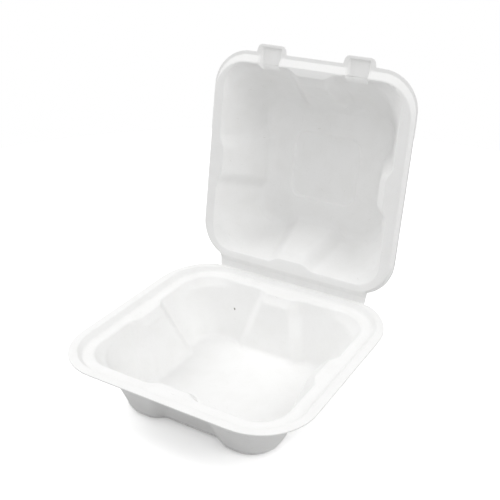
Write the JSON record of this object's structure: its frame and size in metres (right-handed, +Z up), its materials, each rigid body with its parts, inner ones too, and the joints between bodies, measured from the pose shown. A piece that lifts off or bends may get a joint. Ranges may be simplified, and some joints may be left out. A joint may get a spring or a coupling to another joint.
{
  "type": "molded fiber clamshell container",
  "caption": "White molded plant fiber clamshell food container with a square tapered tray, dented sides, lifting tabs and a lid on a folded web, standing open.",
  "frame": {"origin": "middle of the flat underside that the tray stands on", "axes": "+Z up, +Y towards the hinge and the open lid, +X to the right as seen from the front, along the fold"},
  "size_m": [0.152, 0.1965, 0.1842],
  "materials": {
    "fibre": "matte"
  },
  "bodies": {
    "base": {"base": "fibre"},
    "lid": {"lid": "fibre"}
  },
  "joints": [
    {"name": "lid_hinge", "type": "hinge", "parent": "base", "child": "lid", "pos_m": [0, 0.0704, 0.0403], "axis": [1, 0, 0], "range_deg": [-80, 100]}
  ]
}
